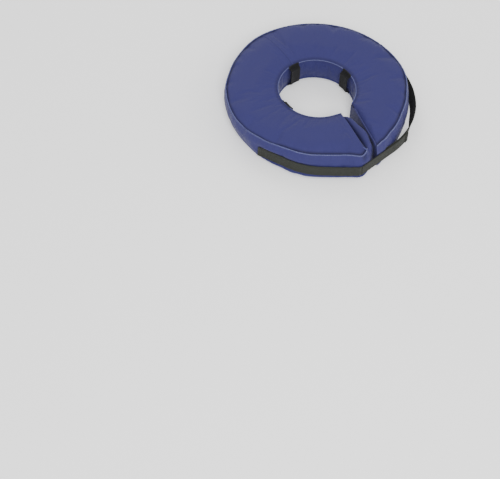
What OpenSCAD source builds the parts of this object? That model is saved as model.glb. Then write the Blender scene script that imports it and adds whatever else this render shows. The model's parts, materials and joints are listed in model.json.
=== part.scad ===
// Inflatable recovery collar for a large dog: a split ring of fabric round an air bladder,
// closed at the front by a hook-and-loop strap, with a zip and an air valve at the back.
// Frame: millimetres, +Z up along the ring's axis, the split faces -Y, z = 0 is the surface it lies on.
// Angles are counted from the split: 0 is the front, 90 the right (+X), 180 the back, -90 the left.

/* [Ring] */
// Radius of the seams between the top or bottom panel and the outer band
ring_r = 190; // [165:1:215]
// Radius of the seams round the neck opening
neck_r = 82; // [72:1:95]
// Overall thickness of the inflated ring
ring_h = 66; // [56:1:78]
// Height that the top panel rises above its seams
top_crown = 7; // [4:0.5:9]
// Height of the bottom seams above the surface it lies on
bottom_crown = 7; // [4:0.5:9]
// Distance that the outer band swells past its seams
outer_bulge = 4; // [2:0.5:6]
// Distance that the neck band swells into the neck opening
neck_bulge = 2; // [1:0.5:3]
// Thickness of the cover's fabric with its backing
panel_t = 1.2; // [0.8:0.1:1.6]
// Angle where the ring flexes when it is opened, counted from the split
flex_at = -135; // [-140:1:-130]
// Angle where the left arm leaves the circle and runs straight to its end
straight_from = -36; // [-40:1:-32]
// Length that the left arm runs straight, measured at its outer seam
straight_l = 85; // [70:1:90]
// Distance that the left arm's end gusset puffs out
end_puff = 16; // [8:1:17]

/* [Bladder] */
// Thickness of the bladder's film
film_t = 0.6; // [0.4:0.1:0.9]
// Room between the bladder and the outer band, which the zip takes up
bladder_room = 3.6; // [3.4:0.1:4.5]
// Height of the weld between the two films
weld_z = 16; // [12:1:20]
// Width of the welded flange
weld_w = 3.5; // [2:0.5:3.5]

/* [Strap] */
// Width of the webbing
strap_w = 26; // [22:1:30]
// Thickness of the webbing
strap_t = 2; // [1.4:0.1:2.6]
// Height of the strap's lower edge
strap_z = 11; // [9:1:16]
// Angle where the sewn part of the strap ends on the left arm
strap_left = -76; // [-85:1:-55]
// Length of the free flap beyond its fold, which lies on the loop strap
flap_end_l = 46; // [36:1:52]
// Angle where the loop strap is sewn down on the right arm
loop_strap_end = 88; // [80:1:90]
// Distance that the loop strap stands off the ring at its middle
loop_slack = 14; // [10:1:16]
// Thickness of the hook tape under the flap
hook_t = 0.8; // [0.6:0.1:1]

/* [Neck loops] */
// Width of the webbing of each neck loop
loop_w = 25; // [18:1:30]
// Clear depth between a neck loop and the neck band
loop_gap = 6.4; // [6:0.2:8]
// Tallest pet's collar that a neck loop takes
loop_clear_h = 38; // [30:1:40]
// Thickness of the neck loops' webbing
loop_t = 1.6; // [1.2:0.1:2]

/* [Zip] */
// Angle where the teeth start
zip_start = 124; // [122:1:150]
// Angle where the teeth end and the closed slider stands
zip_end = 202; // [180:1:203]
// Spacing of the teeth in one row
tooth_pitch = 2.9; // [2.5:0.1:3.5]
// Width of each tape
tape_w = 15; // [12:1:17]
// Thickness of the tapes
tape_t = 0.6; // [0.5:0.1:0.7]
// Length of the slider
slider_l = 12; // [10:0.5:14]
// Length of the pull
pull_l = 26; // [18:1:30]

/* [Valve] */
// Angle of the air valve
valve_at = 108; // [100:1:110]
// Radius of the valve's bore
valve_bore_r = 4; // [3.5:0.1:4.4]
// Radius of the sliding stem
stem_r = 6.45; // [6.2:0.05:6.8]
// Distance that the stem pulls out for inflating
stem_travel = 10; // [6:1:10]

/* [Hidden] */
$fn = 144;

// Clearances
seam_gap = 0.3;      // between panels at a seam
flush_gap = 0.3;     // between a sewn-on strip and the fabric that it lies on
move_gap = 0.3;      // between pieces that move past each other
run_gap = 0.05;      // between the stem and its sleeve
run_in = 3;          // by which the left arm's straight stretch runs back into its curve

// Angles
cap_from = 0.35;     // face of an end cap, from the middle of the split
cap_to = 0.85;
panel_from = 0.95;   // where the right arm's panels start, just behind the cap
flex_half = 0.1;     // half of the gap at the flex line
right_end = 360 + flex_at - flex_half;
left_end = flex_at + flex_half;

// Section of the ring
seam_top = ring_h - top_crown;
seam_low = bottom_crown;
mid_z = (seam_top + seam_low) / 2;
mid_r = (ring_r + neck_r) / 2;
half_w = (ring_r - neck_r) / 2;
half_h = (seam_top - seam_low) / 2;
bottom_sag = 1.2 * bottom_crown;   // deeper than the crown, so that the bottom is flat where it rests

// Colours
BLUE = [0.16, 0.17, 0.45];
DEEP_BLUE = [0.13, 0.14, 0.38];
WEBBING = [0.17, 0.18, 0.16];
BLACK = [0.06, 0.06, 0.06];
CLEAR = [0.75, 0.82, 0.88];
METAL = [0.6, 0.6, 0.62];

// ---- Section curves. Each takes how far inside the outer face it runs. ----

function bow_r(half_chord, sag) = (half_chord * half_chord + sag * sag) / (2 * sag);
function bow(x, half_chord, sag, inset) =
    let (r = bow_r(half_chord, sag)) sag - r + sqrt(pow(r - inset, 2) - x * x);

function outer_wall(z, inset) = ring_r + bow(z - mid_z, half_h, outer_bulge, inset);
function neck_wall(z, inset) = neck_r - bow(z - mid_z, half_h, neck_bulge, inset);
function top_face(r, inset) = seam_top + bow(r - mid_r, half_w, top_crown, inset);
function bottom_face(r, inset) =
    max(inset, seam_low - bow(r - mid_r, half_w, bottom_sag, inset));

function steps(from, to, n) = [for (i = [0:n]) from + (to - from) * i / n];
function flip(list) = [for (i = [len(list) - 1:-1:0]) list[i]];

outer_peak = outer_wall(mid_z, 0);
neck_peak = neck_wall(mid_z, 0);

// ---- Building blocks ----

function polar(at, r) = [r * sin(at), -r * cos(at)];

// Places local +X along the radius at an angle from the split
module at_angle(a) {
    rotate([0, 0, a - 90]) children();
}

// Turns a section (radius, height) about the ring's axis between two angles
module sweep(from, to) {
    at_angle(from) rotate_extrude(angle = to - from) children();
}

// A point on a line square to the radius where the left arm starts to run straight
function straight_point(r, l) =
    polar(straight_from, r) + l * [cos(straight_from), sin(straight_from)];

// The plane that closes the left arm runs from its outer corner to its toe at the neck
arm_corner = straight_point(ring_r, straight_l);
arm_toe = [-4, -neck_r];
end_dir = (arm_toe - arm_corner) / norm(arm_toe - arm_corner);
end_out = [-end_dir.y, end_dir.x] * -1;       // square to that plane, away from the arm

// A slab along that plane, between two distances from it (positive past the arm's end)
module end_slab(from, to) {
    a = arm_corner - straight_l * end_dir;
    b = arm_toe + straight_l * end_dir;
    translate([0, 0, -ring_h]) linear_extrude(3 * ring_h)
        polygon([a + from * end_out, b + from * end_out, b + to * end_out, a + to * end_out]);
}

// Carries a section along the left arm's straight stretch, starting some way back in the curve
module straight_run(back) {
    at_angle(straight_from) rotate([90, 0, 0])
        translate([0, 0, -2 * straight_l]) linear_extrude(2 * straight_l + back) children();
}

// Carries a section round the left arm, and straight on to the plane that closes it
module left_arm_sweep(behind, back = run_in) {
    difference() {
        union() {
            sweep(left_end, straight_from) children();
            straight_run(back) children();
        }
        end_slab(-behind, 2 * ring_r);
    }
}

// A radial cylinder at a height, from one radius to another
module radial_cylinder(r, x0, x1, z) {
    translate([x0, 0, z]) rotate([0, 90, 0]) cylinder(r = r, h = x1 - x0);
}

// A strip of the outer wall between two heights and two insets
module wall_strip(z0, z1, i0, i1) {
    zs = steps(z0, z1, 8);
    polygon(concat([for (z = zs) [outer_wall(z, i0), z]], [for (z = flip(zs)) [outer_wall(z, i1), z]]));
}

// ---- Cover panels ----

module top_section() {
    rs = steps(neck_r, ring_r, 12);
    polygon(concat([for (r = rs) [r, top_face(r, 0)]], [for (r = flip(rs)) [r, top_face(r, panel_t)]]));
}

module bottom_section() {
    rs = steps(neck_r, ring_r, 18);
    polygon(concat([for (r = rs) [r, bottom_face(r, 0)]], [for (r = flip(rs)) [r, bottom_face(r, panel_t)]]));
}

module outer_section() {
    wall_strip(seam_low + panel_t + seam_gap, seam_top - panel_t - seam_gap, 0, panel_t);
}

module neck_section() {
    zs = steps(seam_low + panel_t + seam_gap, seam_top - panel_t - seam_gap, 6);
    polygon(concat([for (z = zs) [neck_wall(z, 0), z]], [for (z = flip(zs)) [neck_wall(z, panel_t), z]]));
}

module whole_section() {
    rs = steps(neck_r, ring_r, 12);
    zs = steps(seam_low, seam_top, 6);
    polygon(concat(
        [for (r = rs) [r, top_face(r, 0)]], [for (z = flip(zs)) [outer_wall(z, 0), z]],
        [for (r = flip(rs)) [r, bottom_face(r, 0)]], [for (z = zs) [neck_wall(z, 0), z]]));
}

module top_panel_right() { color(BLUE) sweep(panel_from, right_end) top_section(); }
module top_panel_left() { color(BLUE) left_arm_sweep(0) top_section(); }
module bottom_panel_right() { color(DEEP_BLUE) sweep(panel_from, right_end) bottom_section(); }
module bottom_panel_left() { color(DEEP_BLUE) left_arm_sweep(0) bottom_section(); }
module neck_band_right() { color(BLUE) sweep(panel_from, right_end) neck_section(); }
module neck_band_left() { color(BLUE) left_arm_sweep(0, 0) neck_section(); }
module end_cap_right() { color(DEEP_BLUE) sweep(cap_from, cap_to) whole_section(); }
module outer_band_left() { color(BLUE) left_arm_sweep(0, 0) outer_section(); }

// The gusset that closes the left arm puffs out towards the right arm
module end_cap_left() {
    chord = norm(arm_toe - arm_corner);
    r = bow_r(chord / 2, end_puff);
    half = asin(chord / 2 / r);
    middle = (arm_corner + arm_toe) / 2 + (end_puff - r) * end_out;
    face = [for (a = steps(-half, half, 12)) middle + r * (cos(a) * end_out + sin(a) * end_dir)];
    color(DEEP_BLUE) translate([seam_gap * end_out.x, seam_gap * end_out.y, seam_low])
        linear_extrude(seam_top - seam_low) polygon(face);
}

// The right-hand band has the zip's slot and the valve's hole
module outer_band_right() {
    color(BLUE) difference() {
        sweep(panel_from, right_end) outer_section();
        sweep(slot_from, slot_to)
            translate([neck_r, mid_z - slot_h / 2]) square([ring_r, slot_h]);
        at_angle(valve_at) radial_cylinder(eyelet_bore_r, mid_r, ring_r * 1.2, mid_z);
    }
}

// ---- Bladder: two films welded along the flanges, closed at the split ----

roundness = 3;
neck_room = 2;       // room between the bladder and the neck band
bladder_out = outer_peak - panel_t - bladder_room;
bladder_in = neck_peak + panel_t + neck_room;
bladder_r = (bladder_out + bladder_in) / 2;
bladder_a = (bladder_out - bladder_in) / 2;
bladder_b = (ring_h - 2 * panel_t) / 2 - 0.6;
bladder_z = ring_h / 2;
weld_out = weld_w + film_t;

function power(v) = sign(v) * pow(abs(v), 2 / roundness);
function tube_outline(inset) =
    [for (a = [0:7.5:352.5]) [bladder_r + (bladder_a - inset) * power(cos(a)),
                              bladder_z + (bladder_b - inset) * power(sin(a))]];
weld_reach = bladder_a * pow(1 - pow(abs(weld_z - bladder_z) / bladder_b, roundness), 1 / roundness);

// Keeps what lies above (side = 1) or below (side = -1) the weld
module film_half(side) {
    intersection() {
        children();
        translate([0, side > 0 ? weld_z : 0]) square([2 * ring_r, side > 0 ? ring_h : weld_z]);
    }
}

module film_section(side) {
    film_half(side) difference() {
        polygon(tube_outline(0));
        polygon(tube_outline(film_t));
    }
    z0 = side > 0 ? weld_z : weld_z - film_t;
    for (end = [bladder_r + weld_reach - film_t, bladder_r - weld_reach - weld_w])
        translate([end, z0]) square([weld_out, film_t]);
}

film_from = panel_from + 0.25;
film_cap = 0.3;      // the angle that a film's closed end takes up

module film_right(side) {
    sweep(film_from, right_end) film_section(side);
    sweep(film_from, film_from + film_cap) film_half(side) polygon(tube_outline(0));
}

film_behind = 1;     // how far the left arm's film stops behind the gusset

module film_left(side) {
    left_arm_sweep(film_behind, 0) film_section(side);
    intersection() {
        straight_run(0) film_half(side) polygon(tube_outline(film_t / 2));
        end_slab(-film_behind - film_t, -film_behind);
    }
}

module bladder_upper_film_right() {
    color(CLEAR) difference() {
        film_right(1);
        at_angle(valve_at) radial_cylinder(sleeve_r + move_gap, mid_r, ring_r, mid_z);
    }
}
module bladder_lower_film_right() { color(CLEAR) film_right(-1); }
module bladder_upper_film_left() { color(CLEAR) film_left(1); }
module bladder_lower_film_left() { color(CLEAR) film_left(-1); }

// ---- Closing strap ----

strap_face = outer_peak + flush_gap;          // inner face of a strap that lies on the band
strap_top = strap_z + strap_w;

function circle_centre(a, b, c) =
    let (d = 2 * (a.x * (b.y - c.y) + b.x * (c.y - a.y) + c.x * (a.y - b.y)),
         aa = a * a, bb = b * b, cc = c * c)
    [(aa * (b.y - c.y) + bb * (c.y - a.y) + cc * (a.y - b.y)) / d,
     (aa * (c.x - b.x) + bb * (a.x - c.x) + cc * (b.x - a.x)) / d];
// Where the ray at an angle from the split meets a circle
function ray_hit(c, r, at) =
    let (d = polar(at, 1), s = c * d + sqrt(pow(c * d, 2) - c * c + r * r)) s * d;

// A strap standing on edge, given the points along its inner and its outer face
module belt(inner, outer) {
    color(WEBBING) translate([0, 0, strap_z]) linear_extrude(strap_w) polygon(concat(inner, flip(outer)));
}

// The loop strap's circle: it meets the ring at both ends and stands off between them
loop_strap_from = 2;
loop_mid = (loop_strap_from + loop_strap_end) / 2;
loop_c = circle_centre(polar(loop_strap_from, strap_face), polar(loop_mid, strap_face + loop_slack),
                       polar(loop_strap_end, strap_face));
loop_r = norm(polar(loop_strap_from, strap_face) - loop_c);
sewn_a = 9;          // angle over which the loop strap's ends are sewn down
belt_steps = 32;

module loop_strap() {
    off = steps(loop_strap_from, loop_strap_end, belt_steps);
    on = steps(loop_strap_end + 1, loop_strap_end + sewn_a, 8);
    belt(concat([for (a = off) ray_hit(loop_c, loop_r, a)], [for (a = on) polar(a, strap_face)]),
         concat([for (a = off) ray_hit(loop_c, loop_r + strap_t, a)],
                [for (a = on) polar(a, strap_face + strap_t)]));
}

// The flap leaves the left arm's corner in a straight line and comes to lie on the loop strap, with
// the hook tape between them. Each end at a fold is set back, so that the webbing can turn there.
hook_r = loop_r + strap_t + move_gap;
flap_r = hook_r + hook_t;
set_back = 0.9;
corner_l = straight_l + 2.1;                   // past the corner that the band swells into
hinge_1 = straight_point(strap_face + strap_t, corner_l);
hinge_arm = hinge_1 - loop_c;
tangent_l = sqrt(hinge_arm * hinge_arm - pow(flap_r + strap_t, 2));
touch_dir = atan2(hinge_arm.y, hinge_arm.x) + atan2(tangent_l, flap_r + strap_t);
hinge_2 = loop_c + (flap_r + strap_t) * [cos(touch_dir), sin(touch_dir)];
fold_half = 0.12;    // half of the angle left free at the fold line
flap_end_a = flap_end_l / flap_r * 180 / PI;
hem_l = 8;
hook_margin = 1.5;   // webbing left bare along the hook tape's edges

module strap_base() {
    on = steps(strap_left, straight_from, belt_steps);
    end_l = corner_l - set_back;
    belt(concat([for (a = on) polar(a, strap_face)], [straight_point(strap_face, end_l)]),
         concat([for (a = on) polar(a, strap_face + strap_t)], [straight_point(strap_face + strap_t, end_l)]));
}

module strap_flap_near() {
    color(WEBBING) translate([hinge_1.x, hinge_1.y, strap_z]) rotate([0, 0, touch_dir + 90])
        translate([set_back, 0, 0]) cube([tangent_l - set_back - fold_half, strap_t, strap_w]);
}

// A strip lying on the loop strap, from one angle past the fold to another
module past_fold(from, to, r, t, margin) {
    translate([loop_c.x, loop_c.y, strap_z + margin]) rotate([0, 0, touch_dir + from])
        rotate_extrude(angle = to - from) translate([r, 0]) square([t, strap_w - 2 * margin]);
}

module strap_flap_end() { color(WEBBING) past_fold(fold_half, flap_end_a, flap_r, strap_t, 0); }
module hook_tape() { color(BLACK) past_fold(3 * fold_half, flap_end_a - 1, hook_r, hook_t, hook_margin); }

// The end of the webbing, turned back on itself and sewn, which gives the fingers a grip
module strap_end_hem() {
    color(WEBBING) past_fold(flap_end_a - hem_l / flap_r * 180 / PI, flap_end_a,
                             flap_r + strap_t + 0.1, strap_t * 0.8, 0);
}

// ---- Neck loops, which the pet's own collar threads through ----

module neck_loop(at) {
    half_a = asin(loop_w / 2 / neck_peak);
    rise = 4;                                 // height over which the webbing leaves the band
    sewn = 5;                                 // height of each sewn end
    face = neck_peak - loop_gap;
    z_in = [mid_z - loop_clear_h / 2, mid_z + loop_clear_h / 2];
    z_out = [z_in[0] - rise, z_in[1] + rise];
    back = [
        [neck_wall(z_out[0] - sewn, 0) - flush_gap, z_out[0] - sewn],
        [neck_wall(z_out[0], 0) - flush_gap, z_out[0]],
        [face, z_in[0]], [face, z_in[1]],
        [neck_wall(z_out[1], 0) - flush_gap, z_out[1]],
        [neck_wall(z_out[1] + sewn, 0) - flush_gap, z_out[1] + sewn]];
    front = [for (p = flip(back)) [p.x - loop_t, p.y]];
    color(BLACK) sweep(at - half_a, at + half_a) polygon(concat(back, front));
}
module neck_loop_right() { neck_loop(90); }
module neck_loop_back() { neck_loop(180); }
module neck_loop_left() { neck_loop(-90); }

// ---- Zip in the back of the outer band ----

slot_h = 10;
slot_from = zip_start - 2.5;
slot_to = zip_end + 4;
tape_inset = panel_t + 0.1;                   // the tapes lie just behind the band
tape_mid_r = outer_peak - tape_inset - tape_t / 2;
tooth_w = 1.25;
tooth_t = 2.4;
tooth_head = 1.3;                             // how far a tooth reaches past the middle line
tooth_root = 2.3;
tape_edge = tooth_root + 0.1;

module zip_tape(side) {
    z0 = mid_z + side * tape_edge;
    z1 = mid_z + side * (tape_edge + tape_w);
    color(BLACK) sweep(slot_from - 1, slot_to + 1)
        wall_strip(min(z0, z1), max(z0, z1), tape_inset, tape_inset + tape_t);
}
module zip_tape_upper() { zip_tape(1); }
module zip_tape_lower() { zip_tape(-1); }

tooth_angle = tooth_pitch / tape_mid_r * 180 / PI;
tooth_count = floor((zip_end - zip_start) / tooth_angle);

module zip_teeth(side) {
    color(BLACK) for (i = [0:tooth_count - 1])
        at_angle(zip_start + (i + (side > 0 ? 0 : 0.5)) * tooth_angle)
            translate([tape_mid_r - tooth_t / 2, -tooth_w / 2, mid_z - (side > 0 ? tooth_head : tooth_root)])
                cube([tooth_t, tooth_w, tooth_head + tooth_root]);
}
module zip_teeth_upper() { zip_teeth(1); }
module zip_teeth_lower() { zip_teeth(-1); }

module zip_bottom_stop() {
    color(METAL) at_angle(zip_start - tooth_angle)
        translate([tape_mid_r - tooth_t / 2, -1.2, mid_z - tooth_root])
            cube([tooth_t, 2.2, 2 * tooth_root]);
}

module zip_top_stops() {
    color(METAL) for (side = [-1, 1])
        at_angle(slider_at + (slider_l / 2 + 1.5) / tape_mid_r * 180 / PI)
            translate([tape_mid_r - tooth_t / 2, -1, mid_z + side * (tooth_root - 0.9) - 0.9])
                cube([tooth_t, 2, 1.8]);
}

slider_at = zip_end + 0.6;
plate_t = 1.2;
plate_h = 9;
plate_back_h = 7;
flange_t = 0.8;
flange_reach = 0.8;
front_plate_x = tape_mid_r + tooth_t / 2 + move_gap;
back_plate_x = tape_mid_r - tooth_t / 2 - move_gap - plate_t;
bridge_l = 8;
bridge_w = 2;
bar_r = 0.7;
bar_x = front_plate_x + plate_t + bar_r + 0.3;
bridge_top_x = bar_x + bar_r + 0.3;
bridge_t = 0.9;

// One plate of the slider, wide where the open rows enter and narrow where the closed rows leave
module slider_plate(x0) {
    l = slider_l / 2;
    translate([x0, 0, mid_z]) rotate([90, 0, 90]) linear_extrude(plate_t)
        polygon([[-l, -plate_back_h / 2], [-l + 3, -plate_h / 2], [l - 1, -plate_h / 2], [l, -plate_h / 2 + 1],
                 [l, plate_h / 2 - 1], [l - 1, plate_h / 2], [-l + 3, plate_h / 2], [-l, plate_back_h / 2]]);
}

module zip_slider() {
    color(METAL) at_angle(slider_at) {
        slider_plate(front_plate_x);
        slider_plate(back_plate_x);
        for (side = [-1, 1]) {
            z0 = mid_z + side * (plate_h / 2 - flange_t / 2) - flange_t / 2;
            translate([front_plate_x - flange_reach, -slider_l / 2 + 3, z0])
                cube([flange_reach + 0.1, slider_l - 4, flange_t]);
            translate([back_plate_x + plate_t - 0.1, -slider_l / 2 + 3, z0])
                cube([flange_reach + 0.1, slider_l - 4, flange_t]);
        }
        // the wedge between the plates that parts the rows
        translate([back_plate_x + 0.1, 0, mid_z]) rotate([90, 0, 90])
            linear_extrude(front_plate_x - back_plate_x)
                polygon([[1.6, 0], [3.4, -1.1], [5.2, 0], [3.4, 1.1]]);
        // the bridge that carries the pull
        for (end = [-bridge_l / 2, bridge_l / 2 - 1])
            translate([front_plate_x + plate_t - 0.1, end, mid_z - bridge_w / 2])
                cube([bridge_top_x - front_plate_x - plate_t + 0.2, 1, bridge_w]);
        translate([bridge_top_x, -bridge_l / 2, mid_z - bridge_w / 2])
            cube([bridge_t, bridge_l, bridge_w]);
    }
}

arm_z = bridge_w / 2 + 0.4;
arm_w = 1.2;
tab_t = 1.2;
tab_h = 6;
tab_from = 6;

// The pull lies back along the closed teeth
module zip_pull() {
    color(METAL) at_angle(slider_at) translate([bar_x, 0, mid_z]) {
        translate([0, 0, -arm_z - arm_w]) cylinder(r = bar_r, h = 2 * (arm_z + arm_w));
        for (z0 = [arm_z, -arm_z - arm_w])
            translate([-bar_r, -tab_from - 0.5, z0]) cube([2 * bar_r, tab_from + 0.5, arm_w]);
        difference() {
            translate([-tab_t / 2, -pull_l, -tab_h / 2]) cube([tab_t, pull_l - tab_from, tab_h]);
            translate([-tab_t, -pull_l + tab_h / 2, 0]) rotate([0, 90, 0])
                cylinder(r = 1.6, h = 2 * tab_t);
        }
    }
}

// ---- Air valve ----

sleeve_r = stem_r + run_gap + 1.2;            // outside of the sleeve that the stem slides in
eyelet_bore_r = sleeve_r - 0.3;
disc_x = bladder_out + 0.2;             // the flange is welded on the bladder's outer side
disc_t = 1.2;
disc_r = 13;
sleeve_x = disc_x - 14;
eyelet_x = outer_peak + 0.2;
eyelet_t = 0.8;
rim_x = eyelet_x + eyelet_t + move_gap;
rim_t = 1.5;
rim_r = stem_r + 1.6;
stem_x = sleeve_x + 1.5;
lug_r = 1.2;
lug_w = 4;
cap_x = rim_x + rim_t + 0.2;
cap_t = 1.6;
hinge_y = -(rim_r + lug_r);
plug_l = 4;
seat_r = valve_bore_r + 0.6;                  // the widening of the stem's mouth that the plug sits in
seat_l = plug_l + 0.2;

module valve_base() {
    color(CLEAR) at_angle(valve_at) difference() {
        union() {
            radial_cylinder(disc_r, disc_x, disc_x + disc_t, mid_z);
            radial_cylinder(sleeve_r, sleeve_x, disc_x + disc_t, mid_z);
        }
        radial_cylinder(stem_r + run_gap, sleeve_x - 1, disc_x + disc_t + 1, mid_z);
    }
}

module valve_eyelet() {
    color(DEEP_BLUE) at_angle(valve_at) difference() {
        radial_cylinder(12, eyelet_x, eyelet_x + eyelet_t, mid_z);
        radial_cylinder(eyelet_bore_r, eyelet_x - 1, eyelet_x + eyelet_t + 1, mid_z);
    }
}

module valve_stem() {
    color(CLEAR) at_angle(valve_at) difference() {
        union() {
            radial_cylinder(stem_r, stem_x, rim_x + rim_t, mid_z);
            radial_cylinder(rim_r, rim_x, rim_x + rim_t, mid_z);
            translate([rim_x, hinge_y, mid_z - lug_w / 2]) cube([rim_t, 2 * lug_r, lug_w]);
        }
        radial_cylinder(valve_bore_r, stem_x - 1, rim_x + rim_t + 1, mid_z);
        radial_cylinder(seat_r, rim_x + rim_t - seat_l, rim_x + rim_t + 1, mid_z);
    }
}

flap_t = 0.5;

// The one-way flap over the inner end of the stem
module valve_check_flap() {
    color(CLEAR) at_angle(valve_at)
        radial_cylinder(stem_r - 1, stem_x - 0.2 - flap_t, stem_x - 0.2, mid_z);
}

// The cap: a tapered plug on a disc, with a strap to its hinge and a lip for the finger
module valve_cap() {
    color(CLEAR) at_angle(valve_at) {
        radial_cylinder(rim_r - 0.4, cap_x, cap_x + cap_t, mid_z);
        translate([cap_x - plug_l, 0, mid_z]) rotate([0, 90, 0])
            cylinder(r1 = seat_r * 0.76, r2 = seat_r - 0.1, h = plug_l + 0.1);
        translate([cap_x, hinge_y, mid_z - lug_w / 2]) cube([1, rim_r + lug_r - 1, lug_w]);
        translate([cap_x, rim_r - 1.4, mid_z - 2.5]) cube([cap_t, 4, 5]);
    }
}

// ---- Drawing ----

top_panel_right();
bottom_panel_right();
outer_band_right();
neck_band_right();
end_cap_right();
bladder_upper_film_right();
bladder_lower_film_right();
loop_strap();
neck_loop_right();
neck_loop_back();
zip_tape_upper();
zip_tape_lower();
zip_teeth_upper();
zip_teeth_lower();
zip_bottom_stop();
zip_top_stops();
zip_slider();
zip_pull();
valve_base();
valve_eyelet();
valve_stem();
valve_check_flap();
valve_cap();
top_panel_left();
bottom_panel_left();
outer_band_left();
neck_band_left();
end_cap_left();
bladder_upper_film_left();
bladder_lower_film_left();
strap_base();
neck_loop_left();
strap_flap_near();
strap_flap_end();
hook_tape();
strap_end_hem();
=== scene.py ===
"""Inflatable recovery collar: a split ring of blue coated cloth with a webbing strap, zip and valve."""
import bpy
import json
import math
import random
import numpy as np
from mathutils import Matrix, Vector


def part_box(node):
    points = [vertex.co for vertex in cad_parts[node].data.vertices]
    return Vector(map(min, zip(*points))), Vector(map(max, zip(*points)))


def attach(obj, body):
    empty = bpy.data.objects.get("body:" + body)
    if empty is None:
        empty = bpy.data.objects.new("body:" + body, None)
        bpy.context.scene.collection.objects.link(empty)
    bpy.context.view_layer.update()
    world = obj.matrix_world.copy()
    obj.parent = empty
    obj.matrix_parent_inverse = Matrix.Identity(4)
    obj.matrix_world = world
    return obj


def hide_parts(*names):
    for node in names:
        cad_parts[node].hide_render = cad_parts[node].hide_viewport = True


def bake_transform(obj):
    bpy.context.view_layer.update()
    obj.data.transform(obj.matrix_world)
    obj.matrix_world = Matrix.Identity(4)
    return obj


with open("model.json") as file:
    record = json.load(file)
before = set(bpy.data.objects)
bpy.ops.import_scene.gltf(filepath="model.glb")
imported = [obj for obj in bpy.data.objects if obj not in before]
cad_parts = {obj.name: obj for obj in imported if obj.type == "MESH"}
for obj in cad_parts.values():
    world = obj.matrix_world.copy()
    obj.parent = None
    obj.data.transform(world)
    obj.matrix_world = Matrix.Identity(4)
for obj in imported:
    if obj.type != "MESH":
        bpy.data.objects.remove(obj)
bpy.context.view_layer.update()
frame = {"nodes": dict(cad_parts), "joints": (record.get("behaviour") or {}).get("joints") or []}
MM = 0.001

# ---------------------------------------------------------------- sizes, from the frame

RING_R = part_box("top_panel_right")[1].x          # the seams at the outer edge
SEAM_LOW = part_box("end_cap_left")[0].z
SEAM_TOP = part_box("end_cap_left")[1].z
RING_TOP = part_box("top_panel_right")[1].z
MID_Z = (SEAM_LOW + SEAM_TOP) / 2
NECK_R = 82 * MM
CROWN = RING_TOP - SEAM_TOP
STRAP_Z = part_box("strap_base")[0].z
STRAP_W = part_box("strap_base")[1].z - STRAP_Z
STRAP_T = 2 * MM
STRAIGHT_FROM = -36                               # degrees: the left arm runs straight from here


def polar(degrees, radius):
    """A point in plan: 0 degrees is the split at the front, 90 the right."""
    a = math.radians(degrees)
    return Vector((radius * math.sin(a), -radius * math.cos(a), 0))


def smooth(t):
    t = min(max(t, 0.0), 1.0)
    return t * t * (3 - 2 * t)


def between(points, x):
    """A smooth curve through (x, value) pairs."""
    if x <= points[0][0]:
        return points[0][1]
    for (x0, y0), (x1, y1) in zip(points, points[1:]):
        if x <= x1:
            return y0 + (y1 - y0) * smooth((x - x0) / (x1 - x0))
    return points[-1][1]


# ---------------------------------------------------------------- camera, light and floor

LENS_MM = 120
CAMERA_DISTANCE = 3.5
CAMERA_AZIMUTH = -42
CAMERA_ELEVATION = 46.45
CAMERA_ROLL = -5.48
OFF_AXIS = Vector((0.04025, 0.0907, -1))          # where the ring's centre lies in the view


def make_camera():
    data = bpy.data.cameras.new("camera")
    camera = bpy.data.objects.new("camera", data)
    bpy.context.scene.collection.objects.link(camera)
    bpy.context.scene.camera = camera
    data.lens = LENS_MM
    a, e = math.radians(CAMERA_AZIMUTH), math.radians(CAMERA_ELEVATION)
    back = Vector((math.sin(a) * math.cos(e), -math.cos(a) * math.cos(e), math.sin(e)))
    look = (-back).to_track_quat("-Z", "Y").to_matrix()
    roll = Matrix.Rotation(math.radians(CAMERA_ROLL), 3, "Z")
    aside = Vector((0, 0, -1)).rotation_difference(OFF_AXIS.normalized()).to_matrix()
    turn = look @ roll.inverted() @ aside.inverted()
    place = Vector((0, 0, SEAM_TOP)) + back * CAMERA_DISTANCE
    camera.matrix_world = Matrix.Translation(place) @ turn.to_4x4()
    data.clip_start = 0.05
    data.clip_end = 30


def area_light(name, place, size, watts):
    data = bpy.data.lights.new(name, "AREA")
    data.shape = "DISK"
    data.size = size
    data.energy = watts
    light = bpy.data.objects.new(name, data)
    bpy.context.scene.collection.objects.link(light)
    light.location = place
    light.rotation_euler = (Vector((0, 0, 0.03)) - Vector(place)).to_track_quat("-Z", "Y").to_euler()


def make_studio():
    world = bpy.data.worlds.new("studio")
    bpy.context.scene.world = world
    world.use_nodes = True
    background = world.node_tree.nodes["Background"]
    background.inputs["Color"].default_value = (1.0, 1.0, 1.0, 1)
    background.inputs["Strength"].default_value = 1.0
    area_light("key", (-1.3, -2.0, 2.4), 1.2, 80)
    area_light("fill", (1.9, -1.6, 1.5), 1.8, 14)
    area_light("back", (0.6, 2.2, 1.8), 1.6, 22)
    corners = [(-6, -6, 0), (6, -6, 0), (6, 6, 0), (-6, 6, 0)]
    floor_mesh = bpy.data.meshes.new("floor")
    floor_mesh.from_pydata(corners, [], [(0, 1, 2, 3)])
    floor = bpy.data.objects.new("floor", floor_mesh)
    bpy.context.scene.collection.objects.link(floor)
    material = bpy.data.materials.new("floor")
    material.use_nodes = True
    shader = material.node_tree.nodes["Principled BSDF"]
    shader.inputs["Base Color"].default_value = (0.95, 0.95, 0.95, 1)
    shader.inputs["Roughness"].default_value = 0.9
    shader.inputs["Emission Color"].default_value = (1, 1, 1, 1)
    shader.inputs["Emission Strength"].default_value = 0.22
    floor_mesh.materials.append(material)


make_camera()
make_studio()

# ---------------------------------------------------------------- shader groups


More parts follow.
